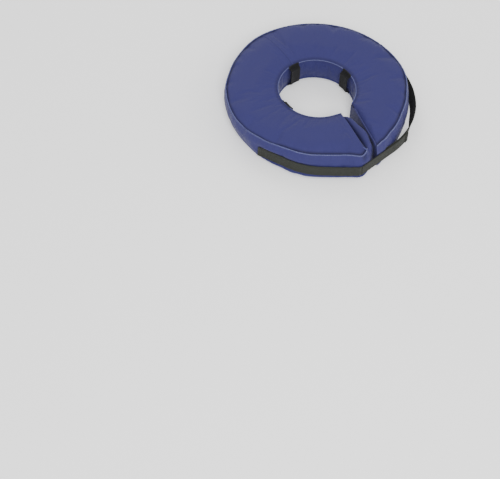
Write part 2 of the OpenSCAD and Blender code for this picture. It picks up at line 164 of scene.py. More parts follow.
class Nodes:
    """Short calls for building a node tree."""

    def __init__(self, tree):
        self.tree = tree

    def add(self, kind, **settings):
        node = self.tree.nodes.new(kind)
        for key, value in settings.items():
            setattr(node, key, value)
        return node

    def link(self, out, into):
        self.tree.links.new(out, into)

    def math(self, operation, a, b=None, c=None, clamp=False):
        node = self.add("ShaderNodeMath", operation=operation, use_clamp=clamp)
        for socket, value in zip(node.inputs, (a, b, c)):
            self.put(socket, value)
        return node.outputs[0]

    def put(self, socket, value):
        if value is None:
            return
        if isinstance(value, bpy.types.NodeSocket):
            self.link(value, socket)
        else:
            socket.default_value = value

    def mix(self, factor, a, b, blend="MIX"):
        node = self.add("ShaderNodeMix", data_type="RGBA", blend_type=blend)
        self.put(node.inputs[0], factor)
        self.put(node.inputs[6], a)
        self.put(node.inputs[7], b)
        return node.outputs[2]

    def noise(self, vector, scale, detail=2.0, roughness=0.5):
        node = self.add("ShaderNodeTexNoise")
        self.put(node.inputs["Vector"], vector)
        self.put(node.inputs["Scale"], scale)
        node.inputs["Detail"].default_value = detail
        node.inputs["Roughness"].default_value = roughness
        return node.outputs["Fac"]

    def remap(self, value, low, high, to_low=0.0, to_high=1.0):
        node = self.add("ShaderNodeMapRange")
        for socket, v in zip(node.inputs, (value, low, high, to_low, to_high)):
            self.put(socket, v)
        return node.outputs[0]


def new_group(name, inputs, outputs):
    """A shader group with float or colour sockets: (name, kind, default)."""
    group = bpy.data.node_groups.new(name, "ShaderNodeTree")
    for socket_name, kind, default in inputs:
        socket = group.interface.new_socket(name=socket_name, in_out="INPUT", socket_type=kind)
        if default is not None:
            socket.default_value = default
    for socket_name, kind in outputs:
        group.interface.new_socket(name=socket_name, in_out="OUTPUT", socket_type=kind)
    nodes = Nodes(group)
    return group, nodes, nodes.add("NodeGroupInput"), nodes.add("NodeGroupOutput")


FLOAT, COLOUR, VECTOR = "NodeSocketFloat", "NodeSocketColor", "NodeSocketVector"


def make_weave_group():
    """Plain weave: threads over and under, from a surface position in metres."""
    group, n, given, result = new_group(
        "plain_weave",
        [("Place", VECTOR, None), ("Across mm", FLOAT, 0.5), ("Along mm", FLOAT, 0.5)],
        [("Height", FLOAT), ("Thread", FLOAT)])
    split = n.add("ShaderNodeSeparateXYZ")
    n.link(given.outputs["Place"], split.inputs[0])
    u = n.math("DIVIDE", n.math("MULTIPLY", split.outputs[0], 1000.0), given.outputs["Across mm"])
    v = n.math("DIVIDE", n.math("MULTIPLY", split.outputs[1], 1000.0), given.outputs["Along mm"])
    warp = n.math("ABSOLUTE", n.math("SINE", n.math("MULTIPLY", u, math.pi)))
    weft = n.math("ABSOLUTE", n.math("SINE", n.math("MULTIPLY", v, math.pi)))
    cell = n.math("ADD", n.math("FLOOR", u), n.math("FLOOR", v))
    odd = n.math("ABSOLUTE", n.math("MODULO", cell, 2.0))
    over = n.math("MULTIPLY", odd, warp)
    under = n.math("MULTIPLY", n.math("SUBTRACT", 1.0, odd), weft)
    height = n.math("ADD", over, under)
    n.link(height, result.inputs["Height"])
    n.link(odd, result.inputs["Thread"])
    return group


def make_mottle_group():
    """Slow unevenness of a dyed surface, fine grain, and scattered lint."""
    group, n, given, result = new_group(
        "dye_mottle",
        [("Place", VECTOR, None), ("Colour", COLOUR, (0.5, 0.5, 0.5, 1)), ("Patches per m", FLOAT, 14.0),
         ("Patch strength", FLOAT, 0.16), ("Grain per m", FLOAT, 900.0), ("Grain strength", FLOAT, 0.1),
         ("Lint", FLOAT, 0.0)],
        [("Colour", COLOUR), ("Mask", FLOAT)])
    place = given.outputs["Place"]
    patches = n.noise(place, given.outputs["Patches per m"], 3.0)
    grain = n.noise(place, given.outputs["Grain per m"], 2.0, 0.6)
    slow = n.math("MULTIPLY", n.math("SUBTRACT", patches, 0.5), given.outputs["Patch strength"])
    fine = n.math("MULTIPLY", n.math("SUBTRACT", grain, 0.5), given.outputs["Grain strength"])
    value = n.math("ADD", n.math("ADD", slow, fine), 1.0)
    tint = n.add("ShaderNodeHueSaturation")
    n.link(value, tint.inputs["Value"])
    n.link(given.outputs["Colour"], tint.inputs["Color"])
    specks = n.remap(n.noise(place, 420.0, 1.0), 0.70, 0.76)
    lint = n.math("MULTIPLY", specks, given.outputs["Lint"])
    n.link(n.mix(lint, tint.outputs[0], (0.55, 0.55, 0.57, 1)), result.inputs["Colour"])
    n.link(patches, result.inputs["Mask"])
    return group


def make_rub_and_shade_group():
    """Rubbing on raised edges, and painted shade in the hollows, from how the surface bends."""
    group, n, given, result = new_group(
        "rub_and_hollow_shade",
        [("Colour", COLOUR, (0.5, 0.5, 0.5, 1)), ("Rub", FLOAT, 0.3), ("Dirt", FLOAT, 0.3)],
        [("Colour", COLOUR), ("Worn", FLOAT)])
    geometry = n.add("ShaderNodeNewGeometry")
    point = geometry.outputs["Pointiness"]
    worn = n.math("MULTIPLY", n.remap(point, 0.515, 0.60), given.outputs["Rub"])
    # Painted shade: the colour is darkened where the surface is hollow, in creases and folds.
    hollow_shade_mask = n.math("MULTIPLY", n.remap(point, 0.485, 0.42), given.outputs["Dirt"])
    lighter = n.add("ShaderNodeHueSaturation")
    lighter.inputs["Value"].default_value = 1.6
    lighter.inputs["Saturation"].default_value = 0.85
    n.link(given.outputs["Colour"], lighter.inputs["Color"])
    rubbed = n.mix(worn, given.outputs["Colour"], lighter.outputs[0])
    darker = n.add("ShaderNodeHueSaturation")
    darker.inputs["Value"].default_value = 0.55
    n.link(rubbed, darker.inputs["Color"])
    n.link(n.mix(hollow_shade_mask, rubbed, darker.outputs[0]), result.inputs["Colour"])
    n.link(worn, result.inputs["Worn"])
    return group


WEAVE = make_weave_group()
MOTTLE = make_mottle_group()
RUB_AND_HOLLOW_SHADE = make_rub_and_shade_group()


def place_group(n, group, **values):
    node = n.add("ShaderNodeGroup", node_tree=group)
    for key, value in values.items():
        n.put(node.inputs[key.replace("_", " ")], value)
    return node


def new_material(name):
    material = bpy.data.materials.new(name)
    material.use_nodes = True
    n = Nodes(material.node_tree)
    return material, n, material.node_tree.nodes["Principled BSDF"]


def surface_place(n):
    """The position on the cloth as cut, in metres, so that the weave stays with the cloth when it moves."""
    return n.add("ShaderNodeUVMap", uv_map="cloth").outputs["UV"]


def object_place(n):
    return n.add("ShaderNodeTexCoord").outputs["Object"]


def bump_chain(n, shader, heights):
    """Bump nodes one after another: (height, distance in metres, strength)."""
    normal = None
    for height, distance, strength in heights:
        bump = n.add("ShaderNodeBump")
        bump.inputs["Distance"].default_value = distance
        bump.inputs["Strength"].default_value = strength
        n.put(bump.inputs["Height"], height)
        if normal is not None:
            n.link(normal, bump.inputs["Normal"])
        normal = bump.outputs["Normal"]
    n.link(normal, shader.inputs["Normal"])


def cloth_material(name, colour, thread_mm, roughness, sheen, patch=0.16, grain=0.10, lint=0.0,
                   rub=0.35, hollow_shade=0.45, weave_strength=0.35, crinkle=0.5):
    material, n, shader = new_material(name)
    place = surface_place(n)
    weave = place_group(n, WEAVE, Place=place, Across_mm=thread_mm[0], Along_mm=thread_mm[1])
    mottle = place_group(n, MOTTLE, Place=place, Colour=(*colour, 1), Patch_strength=patch,
                         Grain_strength=grain, Lint=lint)
    rubbed = place_group(n, RUB_AND_HOLLOW_SHADE, Colour=mottle.outputs["Colour"], Rub=rub, Dirt=hollow_shade)
    gaps = n.remap(weave.outputs["Height"], 0.0, 0.5, 0.80, 1.0)
    # The fold attribute darkens the colour by up to 72 %: painted shade in the tuck, the seam grooves and the
    # gussets.
    fold = n.add("ShaderNodeAttribute", attribute_name="fold")
    gaps = n.math("MULTIPLY", gaps, n.math("SUBTRACT", 1.0, n.math("MULTIPLY", fold.outputs["Fac"], 0.72)))
    grey = n.add("ShaderNodeCombineColor")
    for socket in grey.inputs[:3]:
        n.link(gaps, socket)
    n.link(n.mix(1.0, rubbed.outputs["Colour"], grey.outputs[0], "MULTIPLY"), shader.inputs["Base Color"])
    rough = n.remap(mottle.outputs["Mask"], 0.3, 0.7, roughness - 0.05, roughness + 0.06)
    polish = n.math("MULTIPLY", rubbed.outputs["Worn"], 0.1)
    n.link(n.math("SUBTRACT", rough, polish), shader.inputs["Roughness"])
    shader.inputs["Sheen Weight"].default_value = sheen
    shader.inputs["Sheen Roughness"].default_value = 0.45
    shader.inputs["Specular IOR Level"].default_value = 0.16
    folds = n.noise(place, 38.0, 4.0, 0.6)
    bump_chain(n, shader, [(folds, 0.004, crinkle * 0.35), (n.noise(place, 160.0, 3.0), 0.001, crinkle * 0.4),
                           (weave.outputs["Height"], 0.00012, weave_strength)])
    return material


def webbing_material(name, colour, rib_mm, fuzz=0.5, on_node=False):
    """Woven webbing with ribs and a fuzzy nap. A CAD node has no cut pattern, so its own place is used."""
    material, n, shader = new_material(name)
    place = object_place(n) if on_node else surface_place(n)
    weave = place_group(n, WEAVE, Place=place, Across_mm=rib_mm[0], Along_mm=rib_mm[1])
    mottle = place_group(n, MOTTLE, Place=place, Colour=(*colour, 1), Patches_per_m=60.0,
                         Patch_strength=0.22, Grain_per_m=2600.0, Grain_strength=0.9, Lint=0.05)
    rubbed = place_group(n, RUB_AND_HOLLOW_SHADE, Colour=mottle.outputs["Colour"], Rub=0.5, Dirt=0.3)
    gaps = n.remap(weave.outputs["Height"], 0.0, 0.6, 0.72, 1.0)
    grey = n.add("ShaderNodeCombineColor")
    for socket in grey.inputs[:3]:
        n.link(gaps, socket)
    shade = n.mix(1.0, rubbed.outputs["Colour"], grey.outputs[0], "MULTIPLY")
    n.link(shade, shader.inputs["Base Color"])
    n.link(n.remap(mottle.outputs["Mask"], 0.3, 0.7, 0.86, 0.97), shader.inputs["Roughness"])
    shader.inputs["Sheen Weight"].default_value = 0.04
    shader.inputs["Sheen Roughness"].default_value = 0.6
    shader.inputs["Specular IOR Level"].default_value = 0.12
    nap = n.noise(place, 3200.0, 3.0, 0.7)
    bump_chain(n, shader, [(weave.outputs["Height"], 0.0004, 0.6), (nap, 0.0003, fuzz)])
    return material


def plastic_material(name, colour, roughness, coat=0.0, transmission=0.0, alpha=1.0, grain=0.2):
    material, n, shader = new_material(name)
    place = object_place(n)
    mottle = place_group(n, MOTTLE, Place=place, Colour=(*colour, 1), Patches_per_m=40.0,
                         Patch_strength=0.12, Grain_per_m=1500.0, Grain_strength=0.15)
    rubbed = place_group(n, RUB_AND_HOLLOW_SHADE, Colour=mottle.outputs["Colour"], Rub=0.4, Dirt=0.3)
    n.link(rubbed.outputs["Colour"], shader.inputs["Base Color"])
    n.link(n.remap(mottle.outputs["Mask"], 0.3, 0.7, roughness, roughness + 0.12), shader.inputs["Roughness"])
    shader.inputs["Coat Weight"].default_value = coat
    shader.inputs["Transmission Weight"].default_value = transmission
    shader.inputs["Alpha"].default_value = alpha
    bump_chain(n, shader, [(n.noise(place, 900.0, 3.0), 0.0003, grain)])
    return material


def metal_material(name, colour, roughness):
    material, n, shader = new_material(name)
    place = object_place(n)
    mottle = place_group(n, MOTTLE, Place=place, Colour=(*colour, 1), Patches_per_m=80.0,
                         Patch_strength=0.3, Grain_per_m=3000.0, Grain_strength=0.3)
    rubbed = place_group(n, RUB_AND_HOLLOW_SHADE, Colour=mottle.outputs["Colour"], Rub=0.8, Dirt=0.5)
    n.link(rubbed.outputs["Colour"], shader.inputs["Base Color"])
    n.link(n.remap(mottle.outputs["Mask"], 0.3, 0.7, roughness, roughness + 0.18), shader.inputs["Roughness"])
    shader.inputs["Metallic"].default_value = 1.0
    bump_chain(n, shader, [(n.noise(place, 2400.0, 3.0), 0.00015, 0.3)])
    return material


COVER_BLUE = (0.029, 0.028, 0.116)
cover_cloth = cloth_material("cover_cloth", COVER_BLUE, (0.55, 0.55), 0.62, 0.05)
underside_cloth = cloth_material("underside_cloth", (0.026, 0.030, 0.105), (0.7, 0.7), 0.7, 0.05, lint=0.25)
# Seam lips and the tuck's rim: their lighter blue is a painted highlight along the folded edges.
seam_highlight_cloth = cloth_material("seam_highlight_cloth", (0.058, 0.062, 0.190), (0.55, 0.55), 0.6, 0.1, rub=0.7)
thread = cloth_material("thread", (0.20, 0.22, 0.40), (0.35, 0.2), 0.55, 0.3, rub=0.2, weave_strength=0.6)
dark_thread = cloth_material("dark_thread", (0.030, 0.031, 0.029), (0.35, 0.2), 0.6, 0.3, rub=0.4)
olive_webbing = webbing_material("olive_webbing", (0.026, 0.028, 0.023), (1.1, 1.6))
# Near-black webbing for the olive straps' inner face: painted shade where the strap stands off the band.
black_webbing = webbing_material("black_webbing", (0.009, 0.009, 0.010), (1.0, 1.5))
hook_material = webbing_material("hook_material", (0.012, 0.012, 0.012), (1.3, 0.9), fuzz=1.0)
loop_webbing = webbing_material("loop_webbing", (0.010, 0.010, 0.011), (1.0, 1.5), on_node=True)
zip_cloth = webbing_material("zip_cloth", (0.020, 0.021, 0.028), (0.6, 0.9), on_node=True)
zip_plastic = plastic_material("zip_plastic", (0.018, 0.018, 0.022), 0.35, coat=0.1)
zip_metal = metal_material("zip_metal", (0.10, 0.10, 0.11), 0.32)
clear_vinyl = plastic_material("clear_vinyl", (0.62, 0.68, 0.72), 0.22, coat=0.3, transmission=0.35)
bladder_vinyl = plastic_material("bladder_vinyl", (0.60, 0.66, 0.70), 0.25, coat=0.2)

# ---------------------------------------------------------------- mesh helpers


def new_object(name, vertices, faces, material, uvs=None):
    mesh = bpy.data.meshes.new(name)
    mesh.from_pydata([tuple(v) for v in vertices], [], faces)
    mesh.validate()
    piece = bpy.data.objects.new(name, mesh)
    bpy.context.scene.collection.objects.link(piece)
    mesh.materials.append(material)
    layer = mesh.uv_layers.new(name="cloth")
    if uvs is not None:
        loop_vertex = np.empty(len(mesh.loops), dtype=np.int64)
        mesh.loops.foreach_get("vertex_index", loop_vertex)
        layer.data.foreach_set("uv", np.asarray(uvs, dtype=np.float32)[loop_vertex].ravel())
    mesh.shade_smooth()
    return piece


def bake(piece):
    """Applies the piece's modifiers to its mesh."""
    bpy.context.view_layer.update()
    graph = bpy.context.evaluated_depsgraph_get()
    mesh = bpy.data.meshes.new_from_object(piece.evaluated_get(graph), depsgraph=graph)
    piece.modifiers.clear()
    old = piece.data
    piece.data = mesh
    bpy.data.meshes.remove(old)
    mesh.shade_smooth()
    return piece


def grid_faces(rows, columns, closed=False):
    wrap = columns if closed else columns - 1
    return [(i * columns + j, i * columns + (j + 1) % columns,
             (i + 1) * columns + (j + 1) % columns, (i + 1) * columns + j)
            for i in range(rows - 1) for j in range(wrap)]


def swept(name, stations, profile, material):
    """A closed profile carried through stations (origin, side, up); the ends are closed with quads."""
    vertices, uvs = [], []
    run, last = 0.0, None
    count = len(profile)
    reach = [0.0]
    for (a, b), (c, d) in zip(profile, profile[1:]):
        reach.append(reach[-1] + math.hypot(c - a, d - b))
    for origin, side, up in stations:
        if last is not None:
            run += (origin - last).length
        last = origin
        for k, (a, b) in enumerate(profile):
            vertices.append(origin + side * a + up * b)
            uvs.append((run, reach[k]))
    faces = grid_faces(len(stations), count, closed=True)
    top = (len(stations) - 1) * count
    half = count // 2
    for k in range(half - 1):
        faces.append((k, k + 1, count - 2 - k, count - 1 - k)[::-1])
        faces.append((top + k, top + k + 1, top + count - 2 - k, top + count - 1 - k))
    return new_object(name, vertices, faces, material, uvs)


def flat_profile(width, thickness, round_steps=3):
    """A strap's section, centred, with rounded edges: an even number of points, symmetric end to end."""
    r = thickness / 2
    across = 6
    points = []
    for k in range(round_steps * 2 + 1):
        a = math.pi / 2 + math.pi * k / (round_steps * 2)
        points.append((-width / 2 + r + r * math.cos(a), r * math.sin(a)))
    for k in range(1, across):
        points.append((-width / 2 + r + (width - 2 * r) * k / across, -r))
    for k in range(round_steps * 2 + 1):
        a = -math.pi / 2 + math.pi * k / (round_steps * 2)
        points.append((width / 2 - r + r * math.cos(a), r * math.sin(a)))
    for k in range(1, across):
        points.append((width / 2 - r - (width - 2 * r) * k / across, r))
    return points


def resample(points, step):
    """Points at an even spacing along a polyline."""
    total = sum((b - a).length for a, b in zip(points, points[1:]))
    count = max(2, round(total / step))
    result, target, done = [points[0].copy()], total / count, 0.0
    for a, b in zip(points, points[1:]):
        length = (b - a).length
        while done + length >= target - 1e-9 and len(result) <= count:
            result.append(a + (b - a) * ((target - done) / length))
            target += total / count
        done += length
    return result


def rounded(points, times=2):
    """Cuts the corners of a polyline, keeping its ends."""
    for _ in range(times):
        out = [points[0]]
        for a, b in zip(points, points[1:]):
            out += [a * 0.75 + b * 0.25, a * 0.25 + b * 0.75]
        points = out + [points[-1]]
    return points


def stitches(name, paths, material, pitch, length, radius, sink=0.3):
    """Rows of thread, each stitch a small bowed capsule. paths: lists of (point, outward)."""
    vertices, faces = [], []
    sides = 5
    bow = (0.0, 0.75, 1.0, 0.75, 0.0)
    girth = (0.35, 0.9, 1.0, 0.9, 0.35)
    for path in paths:
        points = [p for p, _ in path]
        gone = 0.0
        place = pitch / 2
        for (a, na), (b, nb) in zip(path, path[1:]):
            step = (b - a).length
            while step > 0 and gone + step >= place:
                t = (place - gone) / step
                middle, out = a.lerp(b, t), na.lerp(nb, t).normalized()
                forward = (b - a).normalized()
                side = forward.cross(out).normalized()
                base = len(vertices)
                for k in range(5):
                    centre = middle + forward * (length * (k / 4 - 0.5)) + out * radius * (bow[k] - sink)
                    for m in range(sides):
                        angle = 2 * math.pi * m / sides
                        ring = (side * math.cos(angle) + out * math.sin(angle)) * radius * girth[k]
                        vertices.append(centre + ring)
                for k in range(4):
                    for m in range(sides):
                        p, q = base + k * sides + m, base + k * sides + (m + 1) % sides
                        faces.append((p, q, q + sides, p + sides))
                faces.append(tuple(base + m for m in reversed(range(sides))))
                faces.append(tuple(base + 4 * sides + m for m in range(sides)))
                place += pitch
            gone += step
    uvs = [(v.x + v.z, v.y) for v in vertices]
    return new_object(name, vertices, faces, material, uvs)


# ---------------------------------------------------------------- the cover's shape

# Where each column of the top and bottom panels lies between the neck seam and the outer seam
EDGE_COLUMNS = (0, 0.014, 0.030, 0.052, 0.080, 0.115)
MIDDLE_COLUMNS = tuple(0.115 + 0.77 * k / 17 for k in range(1, 17))
COLUMNS = EDGE_COLUMNS + MIDDLE_COLUMNS + tuple(1 - t for t in EDGE_COLUMNS[::-1])
ACROSS = len(COLUMNS) - 1
UPRIGHT = 14                                      # cells up the outer and the neck band
STEP_DEG = 1.5
RIGHT_FROM = 0.4                                  # degrees where the right arm's outer seam starts
TOE_ANGLE = 24                                    # degrees where its inner edge starts
LEFT_TOE = Vector((-3, -84, 0)) * MM

# How far the outer seams stray from their circle, in mm, round the ring: the cloth pulls them about
TOP_OUTLINE = ((0, 6.5), (6, 3.5), (16, -1), (34, -4.5), (50, -2.5), (70, 3.5), (110, 2), (160, 0), (183, 1),
               (206, -2.5), (220, -2.5), (236, 1), (262, 3), (272, 1), (285, -3.6), (300, -8), (312, -5.5),
               (324, -3.2))
LOW_OUTLINE = ((0, 14), (10, 6), (30, 0), (70, 3), (110, 1), (200, -1), (250, -5), (270, -6), (285, -3),
               (298, -1), (310, 5), (324, 12))
# The face of the sewn strap on the left arm: degrees and radius in mm
STRAP_PATH = ((-78, 193.5), (-72, 189), (-66, 188), (-60, 188.6), (-54, 191.8), (-48, 194.6), (-42, 196.8),
              (-36, 198.2), (-31, 199.3), (-26, 201.6), (-21.5, 205), (-17, 209.5), (-13.2, 214))


def outline(angle, points=TOP_OUTLINE):
    return between(points, angle % 360) * MM


# The left arm's outer seams past the circle, in plan (mm): where the top one and the low one run
LEFT_TOP_END = ((-78.5, -171.3), (-70.5, -176.2), (-61.5, -182.5), (-52.5, -190), (-45.5, -197.8),
                (-40, -201), (-33.5, -201.5), (-28, -199), (-23.5, -195), (-19.5, -190.5))
LEFT_LOW_END = ((-86.5, -182), (-77.5, -187.5), (-68, -194), (-58.5, -201), (-50, -207.5), (-43, -210),
                (-36, -209), (-29, -206.5), (-22, -203), (-15, -198))


def make_stations():
    """(inner point, top outer point, low outer point) in plan, from the right arm's end to the left arm's."""
    stations = []
    span = 360 + STRAIGHT_FROM - RIGHT_FROM - 12
    count = round(span / STEP_DEG)
    for k in range(count + 1):
        angle = RIGHT_FROM + span * k / count
        inner_angle = angle + (TOE_ANGLE - RIGHT_FROM) * (1 - smooth(angle / 50))
        stations.append((polar(inner_angle, NECK_R), polar(angle, RING_R + outline(angle)),
                         polar(angle, RING_R + outline(angle, LOW_OUTLINE))))
    ends = []
    for listed, first in ((LEFT_TOP_END, stations[-1][1]), (LEFT_LOW_END, stations[-1][2])):
        stray = -3.5 * MM if listed is LEFT_TOP_END else 9 * MM
        points = [first.copy(), polar(STRAIGHT_FROM - 6, RING_R + stray)]
        points += [Vector((x, y, 0)) * MM for x, y in listed]
        ends.append(resample(rounded(points, 2), 4.6 * MM))
    runs = max(len(e) for e in ends)
    tops, lows = (spread(e, runs) for e in ends)
    first_inner = math.degrees(math.atan2(stations[-1][0].x, -stations[-1][0].y))
    toe_angle = math.degrees(math.atan2(LEFT_TOE.x, -LEFT_TOE.y))
    for k in range(1, runs):
        t = k / (runs - 1)
        inner = polar(first_inner + (toe_angle - first_inner) * t ** 0.8, NECK_R)
        inner = inner.lerp(LEFT_TOE, smooth(t * 2 - 1))
        stations.append((inner, tops[k], lows[k]))
    return stations


def spread(points, count):
    """The given number of points, evenly along a polyline."""
    reach = [0.0]
    for a, b in zip(points, points[1:]):
        reach.append(reach[-1] + (b - a).length)
    result = []
    for k in range(count):
        at = reach[-1] * k / (count - 1)
        i = min(max(next((n for n, d in enumerate(reach) if d >= at), 1), 1), len(points) - 1)
        f = (at - reach[i - 1]) / max(reach[i] - reach[i - 1], 1e-9)
        result.append(points[i - 1].lerp(points[i], f))
    return result


def strap_limit(point):
    """The strap's face along a line from the middle, or None where no strap is sewn on."""
    angle = math.degrees(math.atan2(point.x, -point.y))
    if STRAP_PATH[0][0] - 2 < angle < STRAP_PATH[-1][0]:
        return between(STRAP_PATH, angle) * MM
    return None


def section(station, droop, swell):
    """One cross-section: top from the neck out, outer band down, bottom back in, neck band up."""
    inner, outer, low = station
    span, low_span = outer - inner, low - inner
    unit = span.normalized()
    points = []
    for t in COLUMNS[:-1]:
        x = abs(2 * t - 1)
        rise = CROWN * 0.95 * (1 - x ** 3.2) * (1 - 0.75 * droop) - droop * 5 * MM * (1 - x ** 4)
        groove = 0.9 * MM * math.exp(-((1 - x) / 0.035 - 1.2) ** 2)
        points.append(inner + span * t + Vector((0, 0, SEAM_TOP + rise - groove)))
    for j in range(UPRIGHT):
        t = j / UPRIGHT
        x = 2 * t - 1
        height = SEAM_TOP + (SEAM_LOW - SEAM_TOP) * t
        point = outer.lerp(low, t) + unit * (3.6 + 6.5 * swell) * MM * (1 - abs(x) ** 2.2)
        points.append(point + Vector((0, 0, height)))
    for t in COLUMNS[:0:-1]:
        x = abs(2 * t - 1)
        drop = max(0.4 * MM, SEAM_LOW - 1.15 * SEAM_LOW * (1 - x ** 2.6))
        points.append(inner + low_span * t + Vector((0, 0, drop)))
    for j in range(UPRIGHT):
        t = j / UPRIGHT
        x = 2 * t - 1
        height = SEAM_LOW + (SEAM_TOP - SEAM_LOW) * t
        points.append(inner - unit * 2 * MM * (1 - x * x) + Vector((0, 0, height)))
    return points


def pucker_list():
    """Shallow folds that run in from the seams: (angle, start at outer seam?, depth, half width, length)."""
    rng = random.Random(11)
    folds = []
    angle = 8.0
    while angle < 350:
        deep, half, length = rng.uniform(0.3, 1.3), rng.uniform(4.5, 9), rng.uniform(12, 46)
        folds.append((angle, True, deep * MM, half * MM, length * MM))
        angle += rng.uniform(7, 18)
    angle = 3.0
    while angle < 350:
        deep, half, length = rng.uniform(0.2, 0.8), rng.uniform(3.5, 6), rng.uniform(8, 30)
        folds.append((angle, False, deep * MM, half * MM, length * MM))
        angle += rng.uniform(9, 22)
    return folds


PUCKERS = pucker_list()


def pucker_depth(angle, radius):
    depth = 0.0
    for at, outer, deep, half, length in PUCKERS:
        off = (angle - at + 180) % 360 - 180
        across = math.radians(off) * radius / half
        if abs(across) > 3:
            continue
        along_it = (RING_R - radius if outer else radius - NECK_R) / length
        if 0 <= along_it < 1:
            depth += deep * math.exp(-across * across) * (1 - smooth(along_it)) * smooth(along_it * 6 + 0.25)
    return depth


# The end gussets' section: (how far out, height from the middle), in mm, from the top seam to the bottom
GUSSET_CURVE = ((0, 21), (2.5, 25.5), (7, 28), (12, 26.5), (15.5, 19), (17, 8), (17, -6), (15.5, -19),
                (10, -25.5), (4, -26.5), (0, -25.5))


def gusset_points(top, bottom, outer_column, neck_column, out, puff, lift):
    """Inner points of a gusset's grid: rows from top to bottom, each from the neck to the outer edge."""
    rows = []
    for i in range(1, UPRIGHT):
        v = i / UPRIGHT * (len(GUSSET_CURVE) - 1)
        k = min(int(v), len(GUSSET_CURVE) - 2)
        f = v - k
        n_out = GUSSET_CURVE[k][0] * (1 - f) + GUSSET_CURVE[k + 1][0] * f
        high = GUSSET_CURVE[k][1] * (1 - f) + GUSSET_CURVE[k + 1][1] * f
        row = []
        for j in range(1, ACROSS):
            x = COLUMNS[j]
            column = neck_column[i].lerp(outer_column[i], x)
            plan = top[j].lerp(bottom[j], i / UPRIGHT)
            level = MID_Z + (high + lift(x) * (1 - v / 10)) * MM
            roll = Vector((plan.x, plan.y, level)) + out * (n_out * MM * puff(x))
            w = smooth(x / 0.16) * smooth((1 - x) / 0.07)
            row.append(column.lerp(roll, w))
        rows.append(row)
    return rows


